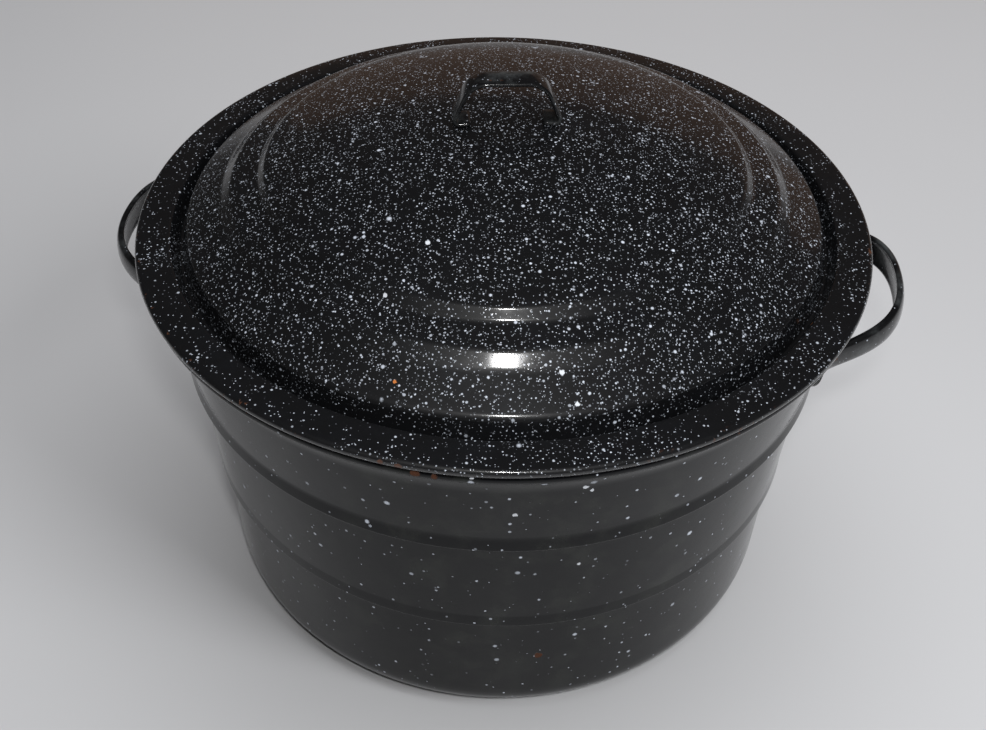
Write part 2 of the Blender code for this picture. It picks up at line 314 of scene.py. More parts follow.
@dataclass(frozen=True)
class SpeckledEnamel:
    """Glossy black enamel with white specks, faint ripple, scuffs, chips, rusty edges and one painted
    highlight.
    """

    name: str
    region: Region
    layers: tuple[Specks, ...]
    spots: tuple[Spot, ...] = ()
    ground: Tint = (0.0035, 0.0037, 0.0044)
    film: Tint = (0.015, 0.0165, 0.0145)
    speck: Tint = (0.66, 0.71, 0.80)
    rust: Tint = (0.115, 0.043, 0.020)
    orange: Tint = (0.55, 0.17, 0.03)
    # Pale colour of chips; it also paints one highlight on the lid.
    bare_and_glint: Tint = (0.72, 0.75, 0.80)
    ripple: float = 0.00006
    gloss_index: float = 1.48
    bloom: float = 0.0

    def thickness(self, recipe: Recipe, radius: Value) -> Value:
        """How thickly the specks lie, from 0 to about 1.

        Args:
            recipe: the finish's node tree.
            radius: distance from the pot's axis.

        Returns:
            The share of specks that show.
        """
        cloud = recipe.noise(34.0, 2.0)
        patchy = 0.35 + 1.3 * cloud
        if self.region is Region.LID:
            clusters = recipe.noise(26.0, 1.0).rise(0.42, 0.60)
            brim = radius.rise(0.163, 0.168) * (0.75 - 0.45 * clusters)
            return patchy * (1.0 - brim)
        return patchy

    def lay_specks(self, recipe: Recipe, thickness: Value) -> tuple[Value, Value]:
        """Scatter every layer of specks.

        Args:
            recipe: the finish's node tree.
            thickness: how thickly they lie.

        Returns:
            How much of a place is speck, and how bright that speck is.
        """
        place = recipe.shifted(recipe.place, 900.0, 0.00022)
        cover, glow = None, None
        for number, layer in enumerate(self.layers):
            offset = (0.37 * number + 0.11, 0.23 * number, 0.61 * number)
            moved = recipe.vector("ADD", place, offset)
            inputs = {"Vector": moved, "Scale": 1.0 / layer.pitch}
            cells = recipe.add("ShaderNodeTexVoronoi", None, inputs)
            chance = recipe.axes(Value(recipe, cells.socket.node.outputs["Color"]))
            reach = layer.smallest + (layer.largest - layer.smallest) * chance[0] ** layer.rarity
            shown = chance[1].below(thickness * layer.share)
            away = cells * layer.pitch
            speck = away.rise(reach, reach * 0.45) * shown
            bright = speck * (layer.dimmest + (1.0 - layer.dimmest) * chance[2])
            cover = speck if cover is None else cover.most(speck)
            glow = bright if glow is None else glow.most(bright)
        return cover, glow

    def lay_spots(self, recipe: Recipe, mark: Mark) -> Value | None:
        """Cover the places of one kind of mark; the chip kind includes one painted highlight.

        Args:
            recipe: the finish's node tree.
            mark: the kind of mark.

        Returns:
            How much of a place the mark covers, or None if no spot is of that kind.
        """
        place = recipe.shifted(recipe.place, 700.0, 0.0009)
        cover = None
        for spot in self.spots:
            if spot.mark is not mark:
                continue
            away = recipe.vector("DISTANCE", place, spot.place, "Value")
            here = away.rise(spot.size, 0.7 * spot.size)
            cover = here if cover is None else cover.most(here)
        return cover

    def edge_wear(self, recipe: Recipe, radius: Value, height: Value) -> Value:
        """Rusty nicks along the rolled edges.

        Args:
            recipe: the finish's node tree.
            radius: distance from the pot's axis.
            height: height above the base.

        Returns:
            How far a place is worn.
        """
        nicks = recipe.noise(260.0, 3.0, rough=0.6).rise(0.615, 0.665)
        where = recipe.noise(11.0, 1.0).rise(0.46, 0.62)
        if self.region is Region.LID:
            edge = radius.rise(0.1868, 0.1885)
        elif self.region is Region.WALL:
            edge = radius.rise(0.1862, 0.1878).most(height.rise(0.0012, 0.0002) * radius.rise(0.10, 0.13))
        else:
            edge = recipe.noise(60.0, 1.0).rise(0.62, 0.72)
        return nicks * where * edge

    def material(self) -> bpy.types.Material:
        """Build the finish's material.

        Returns:
            The material.
        """
        recipe = Recipe(self.name)
        across, along, height = recipe.axes()
        radius = (across * across + along * along) ** 0.5
        cover, glow = self.lay_specks(recipe, self.thickness(recipe, radius))
        worn = self.edge_wear(recipe, radius, height)
        rust = self.lay_spots(recipe, Mark.RUST)
        worn = worn if rust is None else worn.most(rust)
        smear = recipe.noise(18.0, 3.0, rough=0.65)
        dirt = recipe.noise(46.0, 5.0, rough=0.68).rise(0.44, 0.72)
        colour = recipe.blend(dirt, self.ground, self.film)
        colour = recipe.blend(glow, colour, self.speck)
        rusty = recipe.blend(recipe.noise(1500.0, 2.0), self.rust, tuple(0.45 * c for c in self.rust))
        colour = recipe.blend(worn, colour, rusty)
        orange = self.lay_spots(recipe, Mark.ORANGE)
        chip_and_glint = self.lay_spots(recipe, Mark.CHIP_AND_GLINT)
        broken_and_glint = worn
        if orange is not None:
            colour = recipe.blend(orange, colour, self.orange)
            broken_and_glint = broken_and_glint.most(orange)
        # Pale chip marks; one on the lid's lower shoulder is a painted highlight, a lamp's glint painted into
        # the colour.
        if chip_and_glint is not None:
            colour = recipe.blend(chip_and_glint, colour, self.bare_and_glint)
            broken_and_glint = broken_and_glint.most(chip_and_glint)
        rough = 0.07 + 0.10 * smear + 0.10 * cover + 0.06 * dirt
        rough = rough + (0.75 - rough) * broken_and_glint
        wave = recipe.noise(85.0, 2.0)
        slow = recipe.noise(24.0, 1.0)
        relief = self.ripple * wave + 3.0 * self.ripple * slow + 0.00002 * cover - 0.00012 * broken_and_glint
        grain = recipe.noise(2600.0, 2.0) * 0.000004
        inputs = {"Strength": 1.0, "Distance": 1.0, "Height": relief + grain}
        bump = recipe.add("ShaderNodeBump", None, inputs)
        return recipe.finish(
            {
                "Base Color": colour,
                "Roughness": rough,
                "Normal": bump,
                "IOR": self.gloss_index,
                "Specular IOR Level": 0.5,
                "Coat Weight": self.bloom * (0.7 + 0.6 * smear),
                "Coat Roughness": 0.52,
            }
        )


@dataclass(frozen=True)
class PlatedWire:
    """Bright plated wire, dulled by hard water, with a little rust at the welds."""

    name: str = "plated_wire"
    metal: Tint = (0.56, 0.56, 0.55)
    dull: Tint = (0.36, 0.35, 0.33)
    rust: Tint = (0.20, 0.085, 0.040)

    def material(self) -> bpy.types.Material:
        """Build the finish's material.

        Returns:
            The material.
        """
        recipe = Recipe(self.name)
        cloud = recipe.noise(70.0, 4.0, rough=0.65)
        fine = recipe.noise(900.0, 3.0, rough=0.6)
        scale = cloud.rise(0.45, 0.70)
        rust = recipe.noise(120.0, 4.0, rough=0.7).rise(0.64, 0.72) * fine.rise(0.40, 0.60)
        colour = recipe.blend(scale, self.metal, self.dull)
        colour = recipe.blend(rust, colour, self.rust)
        rough = 0.20 + 0.20 * scale + 0.06 * fine
        rough = rough + (0.8 - rough) * rust
        inputs = {"Strength": 1.0, "Distance": 1.0, "Height": 0.000012 * fine + 0.00003 * rust}
        bump = recipe.add("ShaderNodeBump", None, inputs)
        sockets = {"Base Color": colour, "Roughness": rough, "Metallic": 1.0 - rust, "Normal": bump}
        return recipe.finish(sockets)


@dataclass(frozen=True)
class PaleTop:
    """The plain pale floor."""

    name: str = "pale_floor"
    tint: Tint = (0.66, 0.66, 0.67)

    def material(self) -> bpy.types.Material:
        """Build the finish's material.

        Returns:
            The material.
        """
        recipe = Recipe(self.name)
        cloud = recipe.noise(2.5, 2.0)
        colour = recipe.blend(cloud, self.tint, tuple(0.95 * c for c in self.tint))
        return recipe.finish({"Base Color": colour, "Roughness": 0.42})


# ---------------------------------------------------------------- profiles and paths


def arc(
    centre: Sequence[float], radius: float, start: float, end: float, spans: int
) -> list[tuple[float, float]]:
    """Points of an arc in a plane.

    Args:
        centre: the arc's centre.
        radius: its radius.
        start: the first angle, in degrees.
        end: the last angle, in degrees.
        spans: the number of spans.

    Returns:
        The points, both ends included.
    """
    turns = [math.radians(start + (end - start) * k / spans) for k in range(spans + 1)]
    return [(centre[0] + radius * math.cos(t), centre[1] + radius * math.sin(t)) for t in turns]


def filleted(corners: Sequence[Sequence[float]], spans: int = 8) -> list[tuple[float, float]]:
    """Round the inner corners of an open profile.

    Args:
        corners: radius, height and fillet radius of each corner in order.
        spans: the spans in each fillet.

    Returns:
        The profile's points.
    """
    points = [tuple(corners[0][:2])]
    for before, here, after in zip(corners, corners[1:], corners[2:]):
        corner = np.array(here[:2])
        back, ahead = np.array(before[:2]) - corner, np.array(after[:2]) - corner
        back_length, ahead_length = np.linalg.norm(back), np.linalg.norm(ahead)
        back, ahead = back / back_length, ahead / ahead_length
        half = math.acos(float(np.clip(back @ ahead, -1.0, 1.0))) / 2.0
        reach = min(here[2] / math.tan(half), 0.49 * back_length, 0.49 * ahead_length)
        if reach < 1e-7:
            points.append(tuple(corner))
            continue
        middle = (back + ahead) / np.linalg.norm(back + ahead)
        centre = corner + middle * (reach / math.cos(half))
        start, end = corner + back * reach - centre, corner + ahead * reach - centre
        side = math.copysign(1.0, start[0] * end[1] - start[1] * end[0])
        for step in range(spans + 1):
            turn = side * (math.pi - 2.0 * half) * step / spans
            c, s = math.cos(turn), math.sin(turn)
            points.append((centre[0] + c * start[0] - s * start[1], centre[1] + s * start[0] + c * start[1]))
    points.append(tuple(corners[-1][:2]))
    return points


def spaced(points: Sequence[Sequence[float]], longest: float) -> list[tuple[float, ...]]:
    """Break long spans of a run into shorter ones.

    Args:
        points: the run.
        longest: the longest span to leave.

    Returns:
        The run with points added.
    """
    result = [tuple(points[0])]
    for first, second in zip(points, points[1:]):
        first, second = np.array(first), np.array(second)
        count = max(1, math.ceil(float(np.linalg.norm(second - first)) / longest))
        result += [tuple(first + (second - first) * (k + 1) / count) for k in range(count)]
    return result


def offset(points: Sequence[Sequence[float]], distance: float) -> list[tuple[float, float]]:
    """Move an open profile to its left, keeping points that lie on the axis there.

    Args:
        points: the profile.
        distance: how far it moves; a negative one moves it to its right.

    Returns:
        The moved profile.
    """
    line = np.array(points, float)
    step = np.diff(line, axis=0)
    step /= np.linalg.norm(step, axis=1)[:, None]
    left = np.stack([-step[:, 1], step[:, 0]], axis=1)
    first, second = np.vstack([left[:1], left]), np.vstack([left, left[-1:]])
    middle = first + second
    middle /= np.linalg.norm(middle, axis=1)[:, None]
    moved = line + middle * (distance / np.sum(middle * first, axis=1))[:, None]
    moved[line[:, 0] == 0.0, 0] = 0.0
    return [tuple(point) for point in moved]


def bezier(first: Vector, second: Vector, third: Vector, fourth: Vector, spans: int) -> list[Vector]:
    """Points of a cubic curve.

    Args:
        first: its start.
        second: the handle of its start.
        third: the handle of its end.
        fourth: its end.
        spans: the number of spans.

    Returns:
        The points, both ends included.
    """
    points = []
    for step in range(spans + 1):
        t = step / spans
        s = 1.0 - t
        points.append(first * s**3 + second * 3.0 * s * s * t + third * 3.0 * s * t * t + fourth * t**3)
    return points


def rounded(corners: Sequence[Vector], bends: Sequence[float], spans: int = 8) -> list[Vector]:
    """Round the inner corners of an open run in space.

    Args:
        corners: the run's corners.
        bends: the bend radius at each inner corner.
        spans: the spans in each bend.

    Returns:
        The run's points.
    """
    points = [Vector(corners[0])]
    for index, bend in enumerate(bends, start=1):
        corner = Vector(corners[index])
        back = (Vector(corners[index - 1]) - corner).normalized()
        ahead = (Vector(corners[index + 1]) - corner).normalized()
        half = back.angle(ahead) / 2.0
        reach = bend / math.tan(half)
        middle = corner + (back + ahead).normalized() * (bend / math.sin(half))
        first = corner + back * reach - middle
        turn_axis = first.cross(corner + ahead * reach - middle).normalized()
        across = turn_axis.cross(first)
        for step in range(spans + 1):
            turn = (math.pi - 2.0 * half) * step / spans
            points.append(middle + first * math.cos(turn) + across * math.sin(turn))
    points.append(Vector(corners[-1]))
    return points


def polar(radius: float, angle: float, height: float = 0.0) -> Vector:
    """A point at a radius, an angle in degrees round the pot's axis and a height."""
    turn = math.radians(angle)
    return Vector((radius * math.cos(turn), radius * math.sin(turn), height))


def circle(radius: float, height: float, sides: int) -> list[Vector]:
    """Points of a level circle round the pot's axis."""
    return [polar(radius, 360.0 * k / sides, height) for k in range(sides)]


# ---------------------------------------------------------------- meshes


def piece(
    name: str, vertices: Iterable[Sequence[float]], faces: Iterable[Sequence[int]], finish: bpy.types.Material
) -> bpy.types.Object:
    """Make one piece of the canner from its vertices and faces.

    Args:
        name: the piece's name.
        vertices: its vertices in the frame's coordinates.
        faces: the vertices of each face.
        finish: its material.

    Returns:
        The piece.
    """
    mesh = bpy.data.meshes.new(name)
    mesh.from_pydata([tuple(v) for v in vertices], [], [tuple(f) for f in faces])
    shape = bmesh.new()
    shape.from_mesh(mesh)
    bmesh.ops.recalc_face_normals(shape, faces=shape.faces)
    shape.to_mesh(mesh)
    shape.free()
    mesh.shade_smooth()
    mesh.materials.append(finish)
    made = bpy.data.objects.new(name, mesh)
    bpy.context.scene.collection.objects.link(made)
    LOG.info("%s: %d faces", name, len(mesh.polygons))
    return made


def turned(
    name: str,
    profile: Sequence[Sequence[float]],
    finish: bpy.types.Material,
    sides: int = 240,
    warp: Warp | None = None,
) -> bpy.types.Object:
    """Spin a profile that starts and ends on the axis into one closed piece.

    Args:
        name: the piece's name.
        profile: its (radius, height) points.
        finish: its material.
        sides: the number of spans round the axis.
        warp: moves the vertices, for slight unevenness.

    Returns:
        The piece.
    """
    turn = FULL_TURN * np.arange(sides) / sides
    vertices, rows = [], []
    for radius, height in profile:
        if radius == 0.0:
            rows.append([len(vertices)] * sides)
            vertices.append((0.0, 0.0, height))
            continue
        rows.append(list(range(len(vertices), len(vertices) + sides)))
        vertices += list(zip(radius * np.cos(turn), radius * np.sin(turn), [height] * sides))
    faces = []
    for lower, upper in zip(rows, rows[1:]):
        for k in range(sides):
            n = (k + 1) % sides
            corners = (lower[k], lower[n], upper[n], upper[k])
            faces.append(tuple(dict.fromkeys(corners)))
    points = np.array(vertices)
    return piece(name, warp(points) if warp else points, faces, finish)


@dataclass
class Sweep:
    """Bodies made by sweeping a section along runs that each lie in a plane."""

    section: list[tuple[float, float]]
    vertices: list[Vector] = field(default_factory=list)
    faces: list[tuple[int, ...]] = field(default_factory=list)

    def run(
        self,
        path: Sequence[Vector],
        normal: Vector,
        closed: bool = False,
        taper: Callable[[float, float], tuple[float, float]] | None = None,
        warp: Callable[[Vector], Vector] | None = None,
    ) -> "Sweep":
        """Add one body.

        Args:
            path: the middle of the body.
            normal: the normal of the plane that the path lies in.
            closed: whether the path joins up with itself.
            taper: gives the section's two scales from a point's distances to both ends.
            warp: moves each vertex.

        Returns:
            The sweep, so that runs can follow one another.
        """
        count = len(path)
        lengths = np.concatenate([[0.0], np.cumsum([(b - a).length for a, b in zip(path, path[1:])])])
        rings = []
        for index, here in enumerate(path):
            before = path[index - 1] if closed or index > 0 else None
            after = path[(index + 1) % count] if closed or index < count - 1 else None
            incoming = (here - before).normalized() if before is not None else (after - here).normalized()
            outgoing = (after - here).normalized() if after is not None else incoming
            side_in, side_out = normal.cross(incoming), normal.cross(outgoing)
            side = (side_in + side_out).normalized()
            stretch = 1.0 / side.dot(side_in)
            wide, tall = taper(lengths[index], lengths[-1] - lengths[index]) if taper else (1.0, 1.0)
            ring = []
            for across, up in self.section:
                place = here + side * (across * wide * stretch) + normal * (up * tall)
                ring.append(len(self.vertices))
                self.vertices.append(warp(place) if warp else place)
            rings.append(ring)
        for index in range(count if closed else count - 1):
            low, high = rings[index], rings[(index + 1) % count]
            for k in range(len(self.section)):
                n = (k + 1) % len(self.section)
                self.faces.append((low[k], low[n], high[n], high[k]))
        if not closed:
            self.faces += [tuple(rings[0]), tuple(rings[-1])]
        return self

    def made(self, name: str, finish: bpy.types.Material) -> bpy.types.Object:
        """Turn the bodies into one piece."""
        return piece(name, self.vertices, self.faces, finish)


def round_section(radius: float, sides: int = 16) -> list[tuple[float, float]]:
    """The section of a round wire."""
    turns = [FULL_TURN * k / sides for k in range(sides)]
    return [(-radius * math.sin(turn), radius * math.cos(turn)) for turn in turns]


def domed_end(length: float) -> Callable[[float, float], tuple[float, float]]:
    """A taper that rounds off both ends of a run.

    Args:
        length: the length over which each end is rounded off.

    Returns:
        The taper.
    """

    def taper(from_start: float, from_end: float) -> tuple[float, float]:
        """Scale the section at a point.

        Args:
            from_start: distance from the run's start.
            from_end: distance from its end.

        Returns:
            The section's two scales.
        """
        near = min(from_start, from_end, length) / length
        scale = max(0.25, math.sqrt(max(0.0, 1.0 - (1.0 - near) ** 2)))
        return scale, scale

    return taper


def with_ends(path: Sequence[Vector], length: float, steps: int = 5) -> list[Vector]:
    """Add points near both ends of an open run, where its section is rounded off.

    Args:
        path: the run.
        length: the length over which each end is rounded off.
        steps: the spans added at each end.

    Returns:
        The run with points added.
    """
    share = [1.0 - math.cos(0.5 * math.pi * k / steps) for k in range(steps + 1)]
    first, last = Vector(path[0]), Vector(path[-1])
    ahead = (Vector(path[1]) - first).normalized()
    back = (Vector(path[-2]) - last).normalized()
    start = [first + ahead * (length * s) for s in share]
    end = [last + back * (length * s) for s in reversed(share)]
    return start + [Vector(p) for p in path[1:-1]] + end


def beads(
    places: Sequence[tuple[Vector, Vector]], finish: bpy.types.Material, name: str
) -> bpy.types.Object:
    """Make small weld beads.

    Args:
        places: the centre and the three half sizes of each bead.
        finish: their material.
        name: the piece's name.

    Returns:
        One piece that holds them all.
    """
    vertices, faces = [], []
    rows, sides = 8, 12
    for centre, half in places:
        base = len(vertices)
        vertices.append(centre + Vector((0.0, 0.0, half.z)))
        for row in range(1, rows):
            tilt = math.pi * row / rows
            for k in range(sides):
                turn = FULL_TURN * k / sides
                reach = math.sin(tilt)
                across, along = half.x * reach * math.cos(turn), half.y * reach * math.sin(turn)
                vertices.append(centre + Vector((across, along, half.z * math.cos(tilt))))
        vertices.append(centre - Vector((0.0, 0.0, half.z)))
        last = len(vertices) - 1
        for k in range(sides):
            n = (k + 1) % sides
            faces.append((base, base + 1 + k, base + 1 + n))
            faces.append((last, last - sides + n, last - sides + k))
            for row in range(rows - 2):
                low, high = base + 1 + row * sides, base + 1 + (row + 1) * sides
                faces.append((low + k, high + k, high + n, low + n))
    return piece(name, vertices, faces, finish)


# ---------------------------------------------------------------- the canner


@dataclass
class Pot:
    """The drawn enamel pot, with its two welded strap handles."""

    sheet: float = 0.0012
    gap: float = 0.0003
    corner: float = 0.0200
    base_wall: float = 0.1646
    steps: tuple[tuple[float, ...], ...] = (
        (0.0877, 0.1690, 0.0033, 0.0003),
        (0.1547, 0.1750, 0.0040, 0.0012),
    )
    step_drop: float = 0.0034
    flare_rise: float = 0.0070
    band_top: tuple[float, float] = (0.1783, 0.2010)
    rim_flare: tuple[tuple[float, ...], ...] = ((0.1826, 0.2117, 0.0080), (0.1837, 0.2162, 0.0))
    bead_centre: tuple[float, float] = (0.1854, 0.2168)
    bead: float = 0.0030
    strap_width: float = 0.0160
    strap_thickness: float = 0.0043
    handle_height: float = 0.1835
    handle_reach: float = 0.2126
    handle_tilt: float = 0.36
    tip_lean: float = -0.148
    pad_start: float = 22.5
    pad_end: float = 19.0
    bend_start: float = 0.0141
    bend_end: float = 0.0518
    rolled_edge: float = 0.0011
    tongue: float = 0.006
    finish: bpy.types.Material | None = None
    handle_finish: bpy.types.Material | None = None

    def band_radius(self, height: float) -> float:
        """Outer radius of the top band.

        Args:
            height: the height above the base.

        Returns:
            The radius there.
        """
        low, low_height = self.steps[1][1] - self.steps[1][3], self.steps[1][0] + self.flare_rise
        share = (height - low_height) / (self.band_top[1] - low_height)
        return low + (self.band_top[0] - low) * share

    def outer_corners(self) -> list[tuple[float, float, float]]:
        """The outer skin's corners from the base's middle up to the rim.

        Returns:
            The radius, height and fillet radius of each corner.
        """
        corners = [(0.0, 0.0, 0.0), (self.base_wall, 0.0, self.corner)]
        for height, radius, tuck, flare in self.steps:
            corners += [
                (radius - tuck, height - self.step_drop, 0.0040),
                (radius + 0.0001, height - 0.0004, 0.0013),
                (radius - flare, height + self.flare_rise, 0.0120),
            ]
        corners += [(*self.band_top, 0.0250), *self.rim_flare]
        return corners

    def shell(self) -> bpy.types.Object:
        """Build the pot: flat base, rounded corner, two steps and a rim that is rolled outwards.

        Returns:
            The pot's shell.
        """
        outer = spaced(filleted(self.outer_corners(), 10), 0.004)
        inner = offset(outer, self.sheet)
        curl = arc(self.bead_centre, self.bead, 172.0, -140.0, 30)
        hollow = arc(self.bead_centre, self.bead - self.sheet, -140.0, 150.0, 24)
        inner_wall = [point for point in inner if point[1] < self.bead_centre[1] - 0.0030]
        outer_wall = [point for point in outer if point[1] < self.bead_centre[1] - 0.0010]
        profile = outer_wall + hollow[::-1] + curl[::-1] + inner_wall[::-1]
        return turned("pot_shell", profile, self.finish)

    @property
    def pad_radius(self) -> float:
        """Radius of the middle of the strap where it lies on the wall."""
        return self.band_radius(self.handle_height) + self.gap + self.strap_thickness / 2.0

    def handle_path(self) -> list[Vector]:
        """Lay out the right handle before it is tilted.

        Returns:
            The points of its middle line.
        """
        turns = np.linspace(-self.pad_start, -self.pad_end, 7)[:-1]
        pad = [polar(self.pad_radius, float(turn)) for turn in turns]
        leave = polar(self.pad_radius, -self.pad_end)
        along = Vector((-leave.y, leave.x, 0.0)).normalized()
        tip = Vector((self.handle_reach - self.strap_thickness / 2.0, 0.0, 0.0))
        pull = tip - Vector((0.0, self.bend_end, 0.0))
        front = pad + bezier(leave, leave + along * self.bend_start, pull, tip, 40)
        return front + [Vector((p.x, -p.y, 0.0)) for p in reversed(front[:-1])]

    def strap_section(self) -> list[tuple[float, float]]:
        """The strap's section: hollow inside face, crowned outside face and rolled edges.

        Returns:
            The section's points, out from the wall and up.
        """
        half, thick = self.strap_width / 2.0, self.strap_thickness
        edge = self.rolled_edge
        right = [
            (thick / 2.0, 0.0),
            (0.48 * thick, 0.30 * half),
            (0.42 * thick, 0.55 * half),
            (0.30 * thick, 0.76 * half),
            (0.12 * thick, 0.90 * half),
            (-0.10 * thick, 0.975 * half),
            (-0.30 * thick, half),
            (-0.44 * thick, 0.975 * half),
            (-0.50 * thick, half - edge),
            (-0.44 * thick, half - 1.8 * edge),
            (-0.36 * thick, half - 2.6 * edge),
            (-0.30 * thick, 0.40 * half),
            (-0.28 * thick, 0.0),
        ]
        left = [(across, -up) for across, up in reversed(right[1:-1])]
        return [(-across, up) for across, up in right + left]

    def handle(self, name: str, facing: float) -> bpy.types.Object:
        """Build one side handle.

        Args:
            name: the piece's name.
            facing: 1 for the right handle and -1 for the left.

        Returns:
            The handle.
        """
        slope = self.band_radius(1.0) - self.band_radius(0.0)

        def lean(place: Vector) -> Vector:
            """Lay a place against the wall at the pads, and raise and lean it in towards the tip.

            Args:
                place: the place, with its height measured from the strap's middle.

            Returns:
                The place on the finished handle.
            """
            radius = math.hypot(place.x, place.y)
            run = max(radius - self.pad_radius, 0.0)
            share = min(run / (self.handle_reach - self.pad_radius), 1.0)
            scale = facing * (1.0 + (slope + (self.tip_lean - slope) * share) * place.z / radius)
            height = self.handle_height + place.z + self.handle_tilt * run
            return Vector((place.x * scale, place.y * scale, height))

        def tongue(from_start: float, from_end: float) -> tuple[float, float]:
            """Round off the strap's ends."""
            near = min(from_start, from_end, self.tongue) / self.tongue
            return 1.0, 0.55 + 0.45 * math.sqrt(max(0.0, 1.0 - (1.0 - near) ** 2))

        sweep = Sweep(self.strap_section())
        sweep.run(self.handle_path(), Vector((0.0, 0.0, 1.0)), taper=tongue, warp=lean)
        return sweep.made(name, self.handle_finish)

    def build(self) -> None:
        """Build the pot and its handles and fit them to the frame."""
        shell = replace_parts(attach(self.shell(), "pot"), "pot_body")
        for side, facing in (("right", 1.0), ("left", -1.0)):
            strap = self.handle("handle_strap_" + side, facing)
            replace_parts(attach(strap, "pot"), "side_handle_" + side)


@dataclass
class Lid:
    """The pressed lid with its strap handle."""

    sheet: float = 0.0011
    gap: float = 0.0003
    dome_height: float = 0.2753
    dome_sphere: float = 0.3688
    dome_edge: float = 0.1190
    outline: tuple[tuple[float, ...], ...] = (
        (0.1216, 0.2550, 0.0040),
        (0.1258, 0.2500, 0.0050),
        (0.1392, 0.2459, 0.0060),
        (0.1455, 0.23975, 0.0150),
        (0.1637, 0.2294, 0.0048),
        (0.1667, 0.2152, 0.0013),
        (0.1691, 0.2152, 0.0013),
        (0.1722, 0.2252, 0.0020),
        (0.1830, 0.2248, 0.0),
    )
    edge_radius: float = 0.1899
    bead: float = 0.0024
    bead_height: float = 0.2221
    strap_width: float = 0.0130
    strap_thickness: float = 0.0022
    span: float = 0.0565
    top_span: float = 0.0300
    rise: float = 0.0235
    pad: float = 0.0090
    crown_spread: float = 0.0030
    crown_drop: float = 0.0003
    foot_bend: float = 0.0022
    crown_bend: float = 0.0125
    turn: float = 10.5
    finish: bpy.types.Material | None = None
    handle_finish: bpy.types.Material | None = None

    def dome(self, radius: float) -> float:
        """Height of the dome at a radius."""
        return self.dome_height - radius * radius / (2.0 * self.dome_sphere)

    def upper_corners(self) -> list[tuple[float, float, float]]:
        """The upper skin's corners from the dome's edge out to the brim.

        Returns:
            The radius, height and fillet radius of each corner.
        """
        return [(self.dome_edge, self.dome(self.dome_edge), 0.0), *self.outline]

    def shell(self) -> bpy.types.Object:
        """Build the lid: dome, step, shoulder, cone, groove, brim and rolled edge.

        Returns:
            The lid's shell.
        """
        radii = np.linspace(0.0, self.dome_edge, 34)[:-1]
        upper = [(float(r), self.dome(float(r))) for r in radii]
        upper += spaced(filleted(self.upper_corners(), 10), 0.0025)
        lower = offset(upper, -self.sheet)
        centre = (self.edge_radius - self.bead, self.bead_height)
        curl = arc(centre, self.bead, 90.0, -200.0, 30)
        hollow = arc(centre, self.bead - self.sheet, -200.0, 90.0, 24)
        profile = upper + curl + hollow + lower[::-1]
        return turned("lid_shell_pressing", profile, self.finish)

    def strap(self) -> bpy.types.Object:
        """Build the strap handle, whose feet are turned in and lie on the dome.

        Returns:
            The handle.
        """
        lift = self.gap + self.strap_thickness / 2.0
        foot = self.span / 2.0 - self.strap_thickness / 2.0
        inner = foot - self.pad
        top = self.dome_height + self.rise - self.strap_thickness / 2.0
        half_top = self.top_span / 2.0 + self.crown_spread
        around = Matrix.Rotation(math.radians(self.turn), 3, "Z")
        corners = [
            Vector((-inner, 0.0, self.dome(inner) + lift)),
            Vector((-foot, 0.0, self.dome(foot) + lift)),
            Vector((-half_top, 0.0, top - self.crown_drop)),
            Vector((half_top, 0.0, top - self.crown_drop)),
            Vector((foot, 0.0, self.dome(foot) + lift)),
            Vector((inner, 0.0, self.dome(inner) + lift)),
        ]
        bends = (self.foot_bend, self.crown_bend, self.crown_bend, self.foot_bend)
        path = [around @ place for place in rounded(corners, bends, 12)]
        half, thin = self.strap_width / 2.0, self.strap_thickness / 2.0
        edge = arc((0.0, half - thin), thin, 0.0, 180.0, 8)
        section = [(across, up) for across, up in edge]
        section += [(-across, -up) for across, up in edge]
        sweep = Sweep(section).run(spaced_run(path, 0.002), around @ Vector((0.0, 1.0, 0.0)))
        return sweep.made("lid_strap", self.handle_finish)

    def build(self) -> None:
        """Build the lid and its handle and fit them to the frame."""
        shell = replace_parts(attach(self.shell(), "lid"), "lid_shell")
        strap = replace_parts(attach(self.strap(), "lid"), "lid_handle")


def spaced_run(path: Sequence[Vector], longest: float) -> list[Vector]:
    """Break long spans of a run in space into shorter ones."""
    return [Vector(p) for p in spaced([tuple(p) for p in path], longest)]


